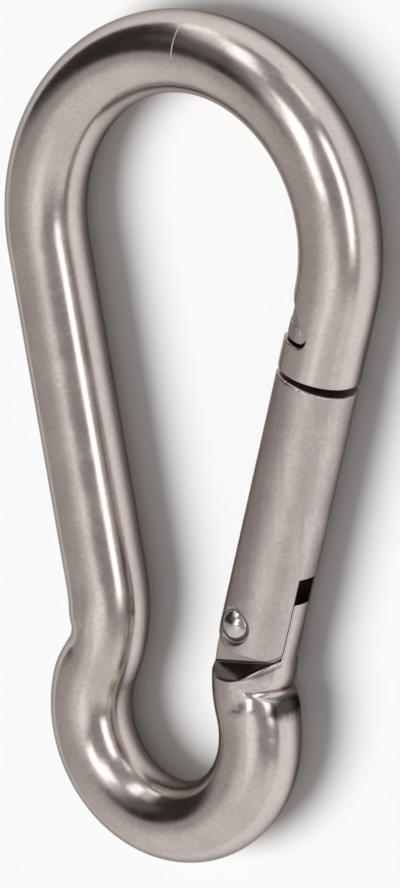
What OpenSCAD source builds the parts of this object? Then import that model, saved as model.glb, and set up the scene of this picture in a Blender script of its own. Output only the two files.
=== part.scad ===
// Steel snap hook: one bent round bar with a sprung gate that opens inwards.
// Millimetres. It lies flat: X across, Y along, Z up. The large bow points to +Y, the gate is on +X.
// The origin is at the middle of the base of the whole hook.

/* [Bar] */
// Diameter of the round bar
bar_d = 11; // [8:0.5:13]
// Radius of the large bow, to the middle of the bar
big_r = 24; // [19:0.5:30]
// Radius of the small bow, to the middle of the bar
small_r = 14; // [11:0.5:17]
// Distance between the centres of the two bows
bow_pitch = 67; // [62:0.5:85]
// Lean of the straight spine from the long axis, in degrees
spine_lean = 14.3; // [11:0.1:17]
// Lean of the gate side from the long axis, in degrees
gate_lean = 12; // [10:0.1:15]
// Radius of the outward kink at the foot of the spine
spine_kink_r = 20; // [12:0.5:26]
// Radius of the outward kink under the gate
neck_kink_r = 14; // [10:0.5:18]
// Step in the bar's radius where one stretch of it runs into the next
join_step = 0.01; // [0.008:0.001:0.02]

/* [Nose] */
// Straight length of the nose, from the end of the large bow to its end face
nose_len = 10.6; // [10:0.1:14]
// Height of the hooking wall above the end face of the nose
hook_up = 4.35; // [3.5:0.05:5]
// How far the slot and the groove reach past the middle of the bar
groove_past = 0.25; // [0:0.05:1]
// Radius at the bottom of the cross groove
groove_r = 1.25; // [1.1:0.05:1.5]
// Angle of the ramp that runs out of the groove, from the bar
ramp_angle = 47; // [40:1:55]
// Bevel on the edge of the nose and on the edge of the gate
edge_bevel = 0.35; // [0.1:0.05:0.6]

/* [Gate] */
// Gap between the nose and the gate, on the inner half
gate_gap = 0.65; // [0.5:0.05:1.2]
// Slope of the outer half of the gate's top, which lets it swing past the nose, in degrees
relief_angle = 5.5; // [0:0.5:8]
// Height of the gate's foot above the start of the kink under it
foot_up = 1.33; // [0.8:0.01:4]
// Diameter of the gate
gate_d = 11; // [8:0.5:13]
// Thickness of the neck between the gate and its head
neck_t = 3; // [2:0.1:4]
// Half length of the cross head, measured from the middle of the bar
head_half = 4.8; // [3.5:0.1:4.9]
// Height of the cross head
head_h = 2.2; // [1.6:0.1:2.4]
// Gap between the cross head and the walls round it
head_clear = 0.35; // [0.3:0.05:0.5]
// Gap between the wedge on the head and the ramp over it
wedge_clear = 0.25; // [0.2:0.05:0.4]
// How far the wedge stands in from the head's own round surface
wedge_inset = 0.15; // [0.1:0.05:0.5]
// Distance from the start of the nose's straight length down to the tip of the wedge
wedge_tip = 1; // [0.6:0.1:2.5]
// Gap beside the neck in its slot, on each side
neck_clear = 0.2; // [0.15:0.05:0.4]
// Radius of the inner corner at the gate's foot
foot_inner_r = 3.9; // [3:0.1:4.3]
// Radius of the outer corner at the gate's foot
foot_outer_r = 2; // [0.8:0.1:2.4]

/* [Hinge] */
// Height of the rivet above the gate's foot
rivet_up = 3.4; // [3.2:0.1:4.5]
// Distance from the middle of the gate in to the rivet
rivet_in = 1.2; // [0.6:0.1:1.4]
// Diameter of the rivet's shank
rivet_d = 3; // [2:0.1:3.4]
// Diameter of the rivet's domed heads
rivet_head_d = 4.4; // [3.8:0.1:4.6]
// Height of the rivet's domed heads above their seats
rivet_head_h = 1.3; // [0.9:0.05:1.5]
// Diameter of the round seat under each head
rivet_seat_d = 5.1; // [4.8:0.1:5.6]
// Depth of the seat below the crown of the gate
rivet_seat_depth = 0.9; // [0.7:0.05:1.1]
// Running clearance of the rivet in the tang, on the radius
rivet_run = 0.06; // [0.02:0.01:0.1]
// Clearance of the rivet in the gate's cheeks, on the radius
rivet_fit = 0.02; // [0.01:0.01:0.05]
// Thickness of the tang
tang_t = 3.1; // [2.4:0.1:4]
// Gap between the tang and each cheek of the gate
tang_clear = 0.15; // [0.1:0.05:0.3]
// Height of the tang above the rivet
tang_up = 4.9; // [4.5:0.1:5.5]
// Radius of the heel, the inner top corner of the tang
heel_r = 1; // [0.5:0.1:1.5]
// Height of the gate's slot above the rivet
slot_up = 8.5; // [8:0.1:10]
// Distance from the gate's foot down to the ledge of the bar, at the middle of the bar
ledge_drop = 2.35; // [1.6:0.05:4]
// Slope of the ledge across the bar, in degrees
ledge_slope = 20.5; // [15:0.1:24]
// Fall of the ledge away from each face of the tang, in degrees
ledge_fall = 20.5; // [0:0.5:25]
// Distance from the gate's foot down to the ledge's outer wall, at the middle of the bar
wall_drop = 4.8; // [4.6:0.05:6]
// Slope of the ledge's outer wall, in degrees
wall_slope = 44.5; // [40:0.5:46]

/* [Spring] */
// Radius of the bore in the gate
bore_r = 2.75; // [2.4:0.05:3]
// Depth of the bore above the slot
bore_depth = 18; // [16:0.5:22]
// Gap round the plunger in its bore, on the radius
plunger_clear = 0.1; // [0.05:0.05:0.2]
// Length of the plunger's round part
plunger_len = 5; // [4:0.5:6]
// Height of the plunger's round part above the slot at rest
plunger_up = 0.3; // [0.1:0.1:0.6]
// Gap beside the plunger's flat tip, on each side
tip_clear = 0.15; // [0.1:0.05:0.3]
// Gap between the plunger and the tang at rest
tip_gap = 0.12; // [0.1:0.02:0.2]
// Thickness of the spring's wire
wire_d = 0.8; // [0.5:0.1:0.9]
// Gap between the spring and the bore
spring_clear = 0.25; // [0.15:0.05:0.4]
// Turns of the spring
spring_turns = 8; // [6:1:9]
// Gap at each end of the spring
spring_seat = 0.05; // [0.02:0.01:0.1]

/* [Hidden] */

bar_r = bar_d / 2;
gate_r = gate_d / 2;
round_fn = 96;
// Cutters reach this far past what they cut
past = 1;
// Each stretch of the bar reaches this far into the next, a little thinner, so that they join as one
join_len = 0.25;
kink_bar_r = bar_r - join_step;
straight_bar_r = bar_r - 2 * join_step;

// Places along the gate side, measured down from the end of the large bow
gate_top = nose_len + gate_gap;
gate_foot = straight_len(gate_lean, neck_kink_r) - foot_up;
rivet_at = gate_foot - rivet_up;
tang_top = rivet_at - tang_up;
slot_top = rivet_at - slot_up;
bore_top = slot_top - bore_depth;
ledge_at = gate_foot + ledge_drop;
wall_at = gate_foot + wall_drop;
hook_wall = nose_len - hook_up;

// The slot in the gate's foot and the seats of the rivet
slot_half = tang_t / 2 + tang_clear;
seat_z = gate_r - rivet_seat_depth;
rivet_top = seat_z + rivet_head_h;

// The cross head sits in the groove with the same gap under it and beyond it
head_under = hook_wall - head_clear;
head_over = head_under - head_h;
head_outer = groove_past - head_clear;

// The plunger and the spring
plunger_foot = slot_top - plunger_up;
plunger_top = plunger_foot - plunger_len;
plunger_r = bore_r - plunger_clear;
spring_low = plunger_top - spring_seat;
spring_high = bore_top + spring_seat;
coil_r = bore_r - spring_clear - wire_d / 2;

// The hook's height on the ground is set by what stands out furthest from the middle of the bar
lift = max(bar_r, rivet_top);
mid_y = (bow_pitch + small_r - big_r) / 2;

// End of the large bow on a side that leans by a degrees, on +X
function bow_end(a) = [big_r * cos(a), -big_r * sin(a)];
// Direction down that side, and its outward normal
function side_down(a) = [-sin(a), -cos(a)];
function side_out(a) = [cos(a), -sin(a)];
// Straight length of that side down to a kink of radius k that meets the small bow
function kink_offset(a, k) = bow_end(a) + k * side_out(a) + [0, bow_pitch];
function straight_len(a, k) =
    let (o = kink_offset(a, k), b = o * side_down(a), c = o * o - pow(small_r + k, 2))
    -b - sqrt(b * b - c);
// Centre of the kink, and how far round the small bow it starts
function kink_centre(a, k) = bow_end(a) + straight_len(a, k) * side_down(a) + k * side_out(a);
function kink_start(a, k) =
    let (f = kink_centre(a, k))
    atan2(f.y + bow_pitch, f.x);

// Angle of an arc of the given length
function arc_deg(length, radius) = length / radius * 180 / PI;

// Everything is drawn round the middle plane of the bar, with the large bow's centre at the origin
module in_place() {
    translate([0, mid_y, lift]) children();
}

// Local frame of the gate side: X outwards, Y up along the gate, Z up
module on_gate() {
    translate(bow_end(gate_lean)) rotate([0, 0, -gate_lean]) children();
}

// Round rod on the gate side, between two distances down from the large bow
module rod(from, to, r) {
    translate([0, -from, 0]) rotate([90, 0, 0]) cylinder(h = to - from, r = r, $fn = round_fn);
}

// Short cone on the gate side, r_from wide at from and r_to wide at to
module bevel(from, to, r_from, r_to) {
    translate([0, -from, 0]) rotate([90, 0, 0])
        cylinder(h = to - from, r1 = r_from, r2 = r_to, $fn = round_fn);
}

// Box on the gate side, from its low corner [across, down, z] to its high one
module gate_box(low, high) {
    translate([low.x, -high.y, low.z]) cube([high.x - low.x, high.y - low.y, high.z - low.z]);
}

// Arc of the bar round a centre in the middle plane
module bend(centre, radius, from_angle, sweep, r) {
    translate([centre.x, centre.y, 0]) rotate([0, 0, from_angle])
        rotate_extrude(angle = sweep, $fn = round_fn) translate([radius, 0]) circle(r = r, $fn = round_fn);
}

// Takes the sharp corner off a box edge that lies along Z: corner at the origin, box towards +X and +Y
module corner_round(r, height) {
    difference() {
        translate([-past, -past, -height / 2]) cube([r + past, r + past, height]);
        translate([r, r, -height]) cylinder(h = 2 * height, r = r, $fn = round_fn);
    }
}

// The kink at the foot of a straight side, drawn on +X, with its far end inside the small bow.
// The press leaves the side and the bow meeting in a crease on the outer, hollow side of the bend.
module kink(lean, kink_r) {
    start = kink_start(lean, kink_r);
    corner = kink_start(lean, 0);
    reach = arc_deg(join_len, kink_r);
    intersection() {
        bend(kink_centre(lean, kink_r), kink_r, 180 - lean, lean + start + reach, kink_bar_r);
        union() {
            translate(bow_end(lean)) rotate([0, 0, -lean])
                rod(straight_len(lean, kink_r) - past, straight_len(lean, 0) + bar_r, bar_r);
            bend(
                [0, -bow_pitch], small_r,
                start - arc_deg(past, small_r), corner - start + arc_deg(bar_r, small_r), bar_r
            );
        }
    }
}

// The bar as it leaves the bending press
module bent_bar() {
    spine_len = straight_len(spine_lean, spine_kink_r);
    neck_at = straight_len(gate_lean, neck_kink_r);
    small_start = kink_start(spine_lean, spine_kink_r);
    small_end = kink_start(gate_lean, neck_kink_r);
    bend([0, 0], big_r, -gate_lean, 180 + gate_lean + spine_lean, bar_r);
    bend([0, -bow_pitch], small_r, 180 - small_start, 180 + small_start + small_end, bar_r);
    kink(gate_lean, neck_kink_r);
    mirror([1, 0, 0]) {
        kink(spine_lean, spine_kink_r);
        translate(bow_end(spine_lean)) rotate([0, 0, -spine_lean])
            rod(-join_len, spine_len + join_len, straight_bar_r);
    }
    on_gate() {
        rod(tang_top, neck_at + join_len, straight_bar_r);
        rod(-join_len, nose_len - edge_bevel, straight_bar_r);
        bevel(nose_len - edge_bevel, nose_len, straight_bar_r, straight_bar_r - edge_bevel);
    }
}

// Slot for the gate's neck, groove for its cross head, and the ramp that runs up out of the groove
module latch_cut() {
    slot_z = neck_t / 2 + neck_clear;
    groove_x = groove_past - groove_r;
    groove_at = hook_wall - groove_r;
    gate_box([-bar_d, groove_at, -slot_z], [groove_past, nose_len + past, slot_z]);
    gate_box([-bar_d, groove_at, -bar_d], [groove_x, hook_wall, bar_d]);
    translate([groove_x, -groove_at, -bar_d]) {
        cylinder(h = 2 * bar_d, r = groove_r, $fn = round_fn);
        intersection() {
            rotate([0, 0, ramp_angle]) translate([-3 * bar_d, 0, 0])
                cube([3 * bar_d + groove_r, 3 * bar_d, 2 * bar_d]);
            translate([-bar_d, 0, 0]) cube([bar_d + groove_r, 3 * bar_d, 2 * bar_d]);
        }
    }
}

// Leaves the flat tang standing above the ledge and its outer wall
module tang_cut() {
    for (s = [-1, 1])
        intersection() {
            translate([0, -ledge_at, s * tang_t / 2]) rotate([0, 0, ledge_slope]) intersection() {
                translate([-bar_d, -bar_d, s > 0 ? 0 : -bar_d]) cube([2 * bar_d, 4 * bar_d, bar_d]);
                rotate([s * ledge_fall, 0, 0])
                    translate([-2 * bar_d, 0, -2 * bar_d]) cube([4 * bar_d, 2 * bar_d, 4 * bar_d]);
            }
            translate([0, -wall_at, -bar_d]) rotate([0, 0, wall_slope])
                translate([-3 * bar_d, 0, 0]) cube([6 * bar_d, 4 * bar_d, 2 * bar_d]);
        }
    translate([-rivet_in, -rivet_at, -bar_d])
        cylinder(h = 2 * bar_d, r = rivet_d / 2 + rivet_run, $fn = round_fn);
    translate([-bar_r, -tang_top, 0]) rotate([0, 0, -90]) corner_round(heel_r, bar_d);
}

module body() color("silver") in_place() {
    difference() {
        bent_bar();
        on_gate() latch_cut();
        on_gate() tang_cut();
    }
}

// Neck, cross head and the wedge that lies under the ramp, cut from the same round bar as the gate
module gate_head() {
    head_end_r = head_h / 2;
    intersection() {
        rod(wedge_tip, head_under - head_end_r, gate_r - edge_bevel - wedge_inset);
        gate_box([-bar_d, 0, -bar_d], [head_outer - head_end_r, head_under, bar_d]);
        translate([groove_past - groove_r, groove_r - hook_wall, -bar_d]) rotate([0, 0, ramp_angle])
            translate([-4 * bar_d, -2 * bar_d, 0])
                cube([4 * bar_d + groove_r - wedge_clear, 4 * bar_d, 2 * bar_d]);
    }
    intersection() {
        rod(head_over, gate_top + past, gate_r - edge_bevel);
        union() {
            gate_box(
                [-bar_d, head_under - head_h / 2, -neck_t / 2],
                [head_outer, gate_top + past, neck_t / 2]
            );
            gate_box([-bar_d, head_over, -head_half], [head_outer - head_end_r, head_under, head_half]);
            translate([head_outer - head_end_r, head_end_r - head_under, -head_half])
                cylinder(h = 2 * head_half, r = head_end_r, $fn = round_fn);
        }
    }
}

module gate() color("lightgray") in_place() on_gate() {
    difference() {
        union() {
            rod(gate_top + edge_bevel, gate_foot, gate_r);
            bevel(gate_top, gate_top + edge_bevel, gate_r - edge_bevel, gate_r);
            gate_head();
        }
        gate_box([-bar_d, slot_top, -slot_half], [bar_d, gate_foot + past, slot_half]);
        rod(bore_top, slot_top + past, bore_r);
        translate([-rivet_in, -rivet_at, -bar_d])
            cylinder(h = 2 * bar_d, r = rivet_d / 2 + rivet_fit, $fn = round_fn);
        for (s = [0, 180])
            translate([-rivet_in, -rivet_at, 0]) rotate([0, s, 0]) translate([0, 0, seat_z])
                cylinder(h = bar_d, r = rivet_seat_d / 2, $fn = round_fn);
        translate([-gate_r, -gate_foot, 0]) corner_round(foot_inner_r, 2 * gate_d);
        translate([gate_r, -gate_foot, 0]) rotate([0, 0, 90]) corner_round(foot_outer_r, 2 * gate_d);
        translate([0, -gate_top, -gate_d]) rotate([0, 0, -relief_angle]) cube([gate_d, gate_d, 2 * gate_d]);
    }
}

// Domed head, standing on the plane z = 0
module rivet_head() {
    base_r = rivet_head_d / 2;
    dome_r = (pow(base_r, 2) + pow(rivet_head_h, 2)) / (2 * rivet_head_h);
    intersection() {
        translate([0, 0, rivet_head_h - dome_r]) sphere(r = dome_r, $fn = round_fn);
        cylinder(h = 2 * rivet_head_h, r = rivet_head_d, $fn = round_fn);
    }
}

module rivet() color("gainsboro") in_place() on_gate() translate([-rivet_in, -rivet_at, 0]) {
    translate([0, 0, -seat_z]) cylinder(h = 2 * seat_z, r = rivet_d / 2, $fn = round_fn);
    for (s = [0, 180]) rotate([0, s, 0]) translate([0, 0, seat_z]) rivet_head();
}

// Round follower in the bore. Two flats on its tip let it reach down the slot to the tang.
module plunger() color("darkgray") in_place() on_gate() {
    tip_end = tang_top - tip_gap;
    tip_half_t = slot_half - tip_clear;
    intersection() {
        rod(plunger_top, tip_end, plunger_r);
        union() {
            gate_box([-bar_d, plunger_top - past, -bar_d], [bar_d, plunger_foot, bar_d]);
            gate_box([-bar_d, plunger_foot - past, -tip_half_t], [bar_d, tip_end + past, tip_half_t]);
        }
    }
}

// Height of the coil at turn t: one flat turn at each end and an even pitch between
function coil_rise(t) =
    let (
        span = spring_low - spring_high - wire_d,
        dead = wire_d,
        pitch = (span - 2 * dead) / (spring_turns - 2)
    )
    t < 1 ? t * dead : t > spring_turns - 1 ? span - (spring_turns - t) * dead : dead + (t - 1) * pitch;

module spring() color("dimgray") in_place() on_gate() {
    steps = 14;
    sides = 8;
    rings = spring_turns * steps;
    points = [
        for (i = [0:rings], j = [0:sides - 1])
            let (turn = 360 * i / steps, round = 360 * j / sides, out = coil_r + wire_d / 2 * cos(round))
            [
                out * cos(turn),
                -spring_low + wire_d / 2 + coil_rise(i / steps) + wire_d / 2 * sin(round),
                -out * sin(turn)
            ]
    ];
    walls = [
        for (i = [0:rings - 1], j = [0:sides - 1])
            let (k = (j + 1) % sides)
            [i * sides + j, i * sides + k, (i + 1) * sides + k, (i + 1) * sides + j]
    ];
    first = [for (j = [sides - 1:-1:0]) j];
    last = [for (j = [0:sides - 1]) rings * sides + j];
    polyhedron(points = points, faces = concat(walls, [first], [last]));
}

body();
gate();
rivet();
plunger();
spring();
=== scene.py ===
"""Steel snap hook: bent bar, sprung gate, rivet, follower and spring, with a plain studio stage.

Lengths are in metres. The hook lies flat: X across it, Y along it, Z up, with the large bow at +Y and
the gate on +X. The middle plane of the bar is called the loop's plane.
"""

import math

import bmesh
import bpy
import numpy as np
from mathutils import Matrix, Vector


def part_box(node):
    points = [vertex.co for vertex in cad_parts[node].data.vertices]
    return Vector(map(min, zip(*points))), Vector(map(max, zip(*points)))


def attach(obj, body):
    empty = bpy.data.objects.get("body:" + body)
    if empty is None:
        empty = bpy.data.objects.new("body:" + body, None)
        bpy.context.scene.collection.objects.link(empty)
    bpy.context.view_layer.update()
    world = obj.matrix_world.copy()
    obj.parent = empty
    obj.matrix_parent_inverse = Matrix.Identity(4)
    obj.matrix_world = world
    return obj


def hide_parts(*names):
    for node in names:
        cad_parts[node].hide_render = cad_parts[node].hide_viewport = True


bl_info = {
    "name": "Snap hook",
    "version": (1, 0, 0),
    "blender": (4, 5, 0),
    "location": "3D View > Sidebar > Snap hook",
    "description": "Builds a sprung-gate snap hook with its steel finishes and a studio stage",
    "category": "Add Mesh",
}

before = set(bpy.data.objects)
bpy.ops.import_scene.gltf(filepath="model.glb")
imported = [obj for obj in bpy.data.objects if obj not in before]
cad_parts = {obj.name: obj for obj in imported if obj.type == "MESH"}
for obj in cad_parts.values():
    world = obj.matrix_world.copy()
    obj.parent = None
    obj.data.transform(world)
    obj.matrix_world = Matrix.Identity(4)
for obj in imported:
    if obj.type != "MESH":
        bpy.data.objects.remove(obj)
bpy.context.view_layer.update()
MM = 0.001

BAR_LOW, BAR_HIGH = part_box("body")
BAR_D = round(BAR_HIGH[2] - BAR_LOW[2], 5)
LOOP_HEIGHT = (BAR_HIGH[2] + BAR_LOW[2]) / 2


# ---------------------------------------------------------------- sizes and finishes


def length(label, words, default):
    """A length in metres that the sidebar shows in millimetres."""
    kind = {"unit": "LENGTH", "subtype": "DISTANCE", "precision": 5}
    return bpy.props.FloatProperty(name=label, description=words, default=default, min=0.0, **kind)


def angle(label, words, degrees):
    default = math.radians(degrees)
    return bpy.props.FloatProperty(name=label, description=words, default=default, subtype="ANGLE")


def steel(label, words, default):
    return bpy.props.FloatVectorProperty(
        name=label, description=words, default=default, size=3, min=0.0, max=1.0, subtype="COLOR"
    )


def share(label, words, default):
    kind = {"min": 0.0, "max": 1.0, "subtype": "FACTOR"}
    return bpy.props.FloatProperty(name=label, description=words, default=default, **kind)


def number(label, words, default, low=0.0, unit="NONE"):
    return bpy.props.FloatProperty(name=label, description=words, default=default, min=low, unit=unit)


class HookSizes(bpy.types.PropertyGroup):
    """Sizes of the hook"""

    bar_d: length("Bar diameter", "Diameter of the round bar", BAR_D)
    big_r: length("Large bow", "Radius of the large bow, to the middle of the bar", 24 * MM)
    small_r: length("Small bow", "Radius of the small bow, to the middle of the bar", 14 * MM)
    pitch: length("Bow pitch", "Distance between the centres of the two bows", 67 * MM)
    spine_lean: angle("Spine lean", "Lean of the spine from the long axis", 14.3)
    gate_lean: angle("Gate lean", "Lean of the gate side from the long axis", 12)
    spine_kink_r: length("Spine kink", "Radius of the kink at the foot of the spine", 20 * MM)
    neck_kink_r: length("Neck kink", "Radius of the kink under the gate", 14 * MM)
    spine_crease_r: length("Spine crease", "Radius in the crease at the foot of the spine", 1 * MM)
    neck_crease_r: length("Neck crease", "Radius in the crease under the gate", 0.35 * MM)
    spine_drag: length("Spine crease drag", "How far the press drags the spine's crease down", 0.9 * MM)
    neck_drag: length("Neck crease drag", "How far the press drags the neck's crease down", 0.8 * MM)
    neck_lip: length("Neck lip", "Height of the lip pressed up under the neck's crease", 0.65 * MM)
    lip_rise: length("Lip edge", "Distance in which the lip rises out of the neck's crease", 0.7 * MM)
    lip_len: length("Lip length", "Distance in which the lip fades into the small bow", 5.5 * MM)
    spine_swell: length("Spine swell", "Height of the swelling above the spine's crease", 0.3 * MM)
    neck_swell: length("Neck swell", "Height of the swelling above the neck's crease", 0.3 * MM)
    fold: length("Fold", "Depth of the fold line in the neck's crease", 0.22 * MM)
    nose_len: length("Nose", "Straight length of the nose", 10.6 * MM)
    hook_up: length("Hooking wall", "Height of the hooking wall above the nose's end", 4.35 * MM)
    groove_past: length("Groove reach", "How far the groove reaches past the middle of the bar", 0.25 * MM)
    groove_r: length("Groove radius", "Radius at the bottom of the cross groove", 1.25 * MM)
    ramp: angle("Ramp", "Angle of the ramp out of the groove", 47)
    edge: length("Edge", "Rounding of the nose's and the gate's end edges", 0.35 * MM)
    gate_gap: length("Gate gap", "Gap between the nose and the gate, on the inner half", 0.65 * MM)
    relief: angle("Relief", "Slope of the outer half of the gate's top", 5.5)
    foot_up: length("Foot height", "Height of the gate's foot above the kink", 1.33 * MM)
    neck_t: length("Gate neck", "Thickness of the neck behind the cross head", 3 * MM)
    head_half: length("Cross head", "Half length of the cross head", 4.8 * MM)
    head_h: length("Head height", "Height of the cross head", 2.2 * MM)
    head_clear: length("Head gap", "Gap between the cross head and the groove", 0.35 * MM)
    wedge_clear: length("Wedge gap", "Gap between the wedge on the head and the ramp", 0.25 * MM)
    wedge_inset: length("Wedge inset", "How far the wedge stands in from the head's round surface", 0.15 * MM)
    wedge_tip: length("Wedge tip", "Distance from the end of the large bow down to the wedge's tip", 1 * MM)
    neck_clear: length("Neck gap", "Gap beside the gate's neck", 0.2 * MM)
    foot_in_r: length("Foot, inner corner", "Radius of the inner corner at the gate's foot", 3.9 * MM)
    foot_out_r: length("Foot, outer corner", "Radius of the outer corner at the gate's foot", 2 * MM)
    rivet_up: length("Rivet height", "Height of the rivet above the gate's foot", 3.4 * MM)
    rivet_in: length("Rivet offset", "Distance from the middle of the gate in to the rivet", 1.2 * MM)
    rivet_d: length("Rivet", "Diameter of the rivet's shank", 3 * MM)
    head_d: length("Rivet head", "Diameter of the rivet's heads", 4.4 * MM)
    head_rise: length("Rivet head height", "Height of the rivet's heads", 1.3 * MM)
    seat_d: length("Rivet seat", "Diameter of the seat under each rivet head", 5.1 * MM)
    seat_depth: length("Seat depth", "Depth of the seat below the gate's crown", 0.9 * MM)
    tang_t: length("Tang", "Thickness of the tang", 3.1 * MM)
    tang_clear: length("Tang gap", "Gap between the tang and each cheek", 0.15 * MM)
    tang_up: length("Tang height", "Height of the tang above the rivet", 4.9 * MM)
    heel_r: length("Heel", "Radius of the tang's heel", 1 * MM)
    slot_up: length("Slot height", "Height of the gate's slot above the rivet", 8.5 * MM)
    ledge_drop: length("Ledge drop", "Distance from the gate's foot down to the ledge", 2.35 * MM)
    ledge_slope: angle("Ledge slope", "Slope of the ledge across the bar", 20.5)
    ledge_fall: angle("Ledge fall", "Fall of the ledge away from the tang", 20.5)
    wall_drop: length("Wall drop", "Distance from the gate's foot down to the ledge's outer wall", 4.8 * MM)
    wall_slope: angle("Wall slope", "Slope of the ledge's outer wall", 44.5)
    bore_r: length("Bore", "Radius of the bore in the gate", 2.75 * MM)
    bore_depth: length("Bore depth", "Depth of the bore above the slot", 18 * MM)
    wire_d: length("Wire", "Thickness of the spring's wire", 0.8 * MM)
    turns: bpy.props.IntProperty(name="Turns", description="Turns of the spring", default=8, min=3)


class HookFinish(bpy.types.PropertyGroup):
    """Finishes of the hook"""

    bar_steel: steel("Bar", "Colour of the polished bar", (0.64, 0.575, 0.545))
    gate_steel: steel("Gate", "Colour of the satin gate", (0.63, 0.565, 0.54))
    rivet_steel: steel("Rivet", "Colour of the rivet", (0.66, 0.63, 0.60))
    inner_steel: steel("Inner parts", "Colour of the spring and the follower", (0.34, 0.32, 0.31))
    bar_rough: share("Bar roughness", "Roughness of the polished bar", 0.19)
    gate_rough: share("Gate roughness", "Roughness of the satin gate", 0.36)
    rivet_rough: share("Rivet roughness", "Roughness of the rivet", 0.16)
    inner_rough: share("Inner roughness", "Roughness of the spring and the follower", 0.4)
    wear: share("Wear", "Strength of the handling marks", 0.5)


class HookStage(bpy.types.PropertyGroup):
    """Floor, light and camera"""

    floor: steel("Floor", "Colour of the floor", (0.93, 0.93, 0.93))
    key_light: number("Key light", "Strength of the key", 2.9)
    key_size: angle("Key size", "How wide the key is, as seen from the hook", 40)
    lens: number("Lens", "Focal length of the camera", 306.8, 1.0, "CAMERA")


# ---------------------------------------------------------------- small fixed sizes

# Roundings of edges
SOFT_EDGE = 0.3 * MM  # the ledge and the gate's foot
CUT_EDGE = 0.2 * MM  # most cut edges
LATCH_EDGE = 0.18 * MM  # the nose's slot and groove
HOLE_EDGE = 0.12 * MM  # the rivet's hole in the tang
INNER_CORNER = 0.15 * MM  # inside corners on the gate's top and in its rivet seats
WEDGE_EDGE = 0.1 * MM  # the wedge on the cross head

# Gaps round the rivet's shank, in the tang and in the gate's cheeks
TANG_HOLE_GAP = 0.06 * MM
CHEEK_HOLE_GAP = 0.02 * MM

# How far a shape reaches past the face where it joins or cuts another one
PAST = 1 * MM
# The distance given where a shape doesn't reach
FAR = 1.0

# Nicks in the rim of the gate's top: their depth, and the height of the band that they are in
NICK_DEPTH = 0.12 * MM
NICK_BAND = 0.35 * MM

# Where the press worked on a side: along it from the crease, and across it from its middle line outwards.
# A pair gives where the effect starts and where it is full.
PRESS_ALONG = (-9 * MM, -6 * MM)
PRESS_ACROSS = (-2 * MM, 3 * MM)
PRESS_END = 11 * MM  # across
DRAG_FADE = 5.5 * MM  # length in which the drag fades out
SWELL_ABOVE = 1.6 * MM  # from the dragged crease up to the middle of the swelling
SWELL_REACH = 2 * MM  # half length of the swelling
LIP_START = -0.2 * MM
LIP_ACROSS = (0.5 * MM, 4.5 * MM)
FOLD_REACH = 0.5 * MM  # half width of the fold line

# Height of the follower's top above the gate's slot, and the gaps at the spring's ends and beside its coils
FOLLOWER_TOP = 5.3 * MM
SPRING_END_GAP = 0.05 * MM
COIL_GAP = 0.25 * MM
# Points in each turn of the spring's path, and the steps along and sides of its wire
TURN_STEPS = 32
WIRE_STEP = 0.4 * MM
WIRE_SIDES = 14

# The lower rim of a rivet head, as distances inwards and upwards from its corner. The dome starts a little
# inside the rim.
HEAD_RIM = ((0.1 * MM, 0.0), (0.03 * MM, 0.02 * MM), (0.0, 0.1 * MM))
DOME_START = 0.97
DOME_STEPS = 24
RIVET_SIDES = 96


# ---------------------------------------------------------------- the shape of the hook
# The shape functions take points as an array of rows in the loop's own frame: the origin is the centre of
# the large bow, in the loop's plane. They give each point's distance outside the surface, negative inside.


def round_cut(a, b, r):
    """Distance from what is inside both a and b, with their edge rounded to r."""
    return np.minimum(-r, np.maximum(a, b)) + np.hypot(np.maximum(a + r, 0), np.maximum(b + r, 0))


def round_join(a, b, r):
    """Distance from what is inside a or b, with their inner corner rounded to r."""
    return -round_cut(-a, -b, r)


def step_up(value, low, high):
    """0 below low, 1 above high and smooth between."""
    t = np.clip((value - low) / (high - low), 0, 1)
    return t * t * (3 - 2 * t)


def off_line(p, start, heading, low, high):
    """Distance of each point from a straight stretch in the loop's plane."""
    rel = p[:, :2] - start
    t = np.clip(rel @ heading, low, high)
    return np.hypot(np.hypot(rel[:, 0] - t * heading[0], rel[:, 1] - t * heading[1]), p[:, 2])


def off_arc(p, centre, radius, low, high):
    """Distance of each point from an arc in the loop's plane."""
    rel = p[:, :2] - centre
    middle, half = (low + high) / 2, (high - low) / 2
    turn = (np.arctan2(rel[:, 1], rel[:, 0]) - middle + math.pi) % math.tau - math.pi
    turn = middle + np.clip(turn, -half, half)
    flat = np.hypot(rel[:, 0] - radius * np.cos(turn), rel[:, 1] - radius * np.sin(turn))
    return np.hypot(flat, p[:, 2])


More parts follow.
